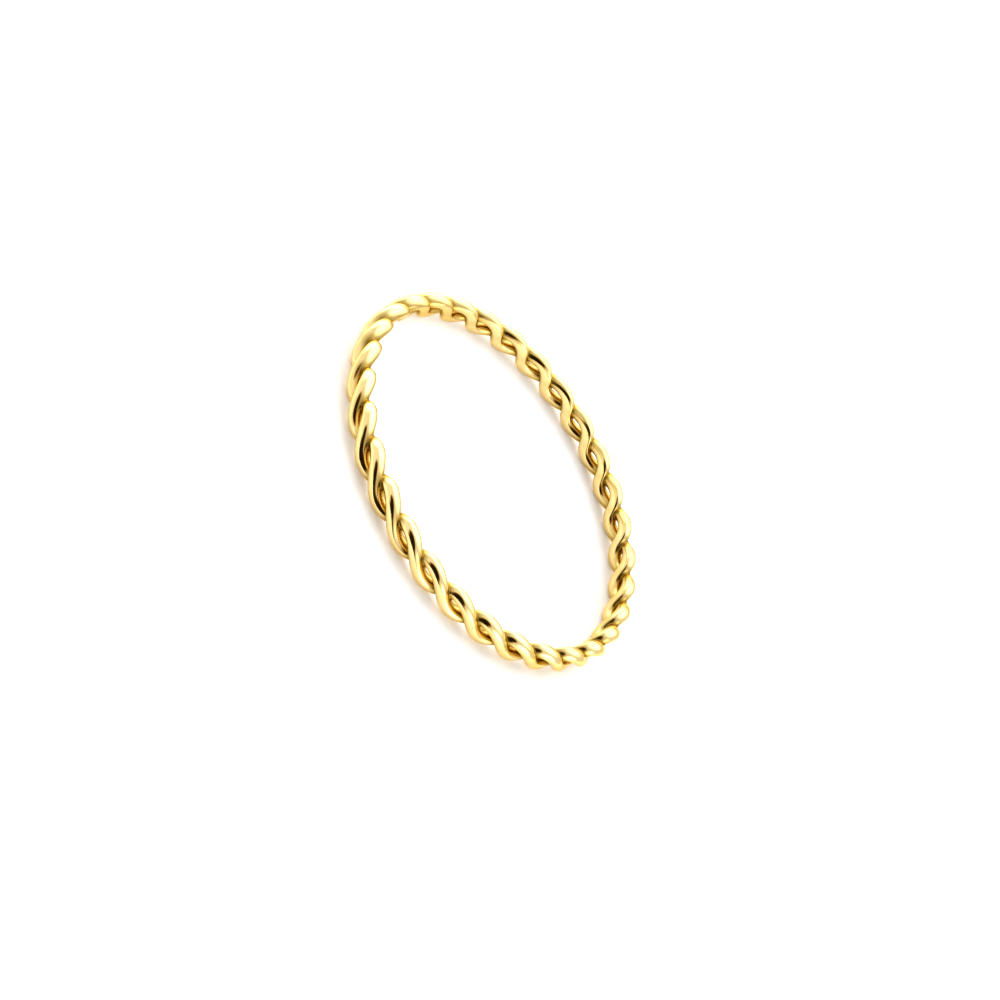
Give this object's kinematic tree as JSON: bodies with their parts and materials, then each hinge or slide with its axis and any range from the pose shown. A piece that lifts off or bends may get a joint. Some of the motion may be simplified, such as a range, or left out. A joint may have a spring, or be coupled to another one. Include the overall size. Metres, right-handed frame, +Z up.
{
  "type": "rope twist ring",
  "caption": "Slim finger ring of two polished gold wires wound in an open twist with small see-through windows, soldered into one band, with smooth ground lands inside.",
  "frame": {"origin": "centre of the finger hole, on the surface that the ring lies on", "axes": "+Z up along the finger's axis, +X and +Y across the finger hole"},
  "size_m": [0.0188, 0.0188, 0.0014],
  "materials": {
    "polished_gold": "polished"
  },
  "bodies": {
    "root": {"twist_band": "polished_gold"}
  },
  "joints": []
}
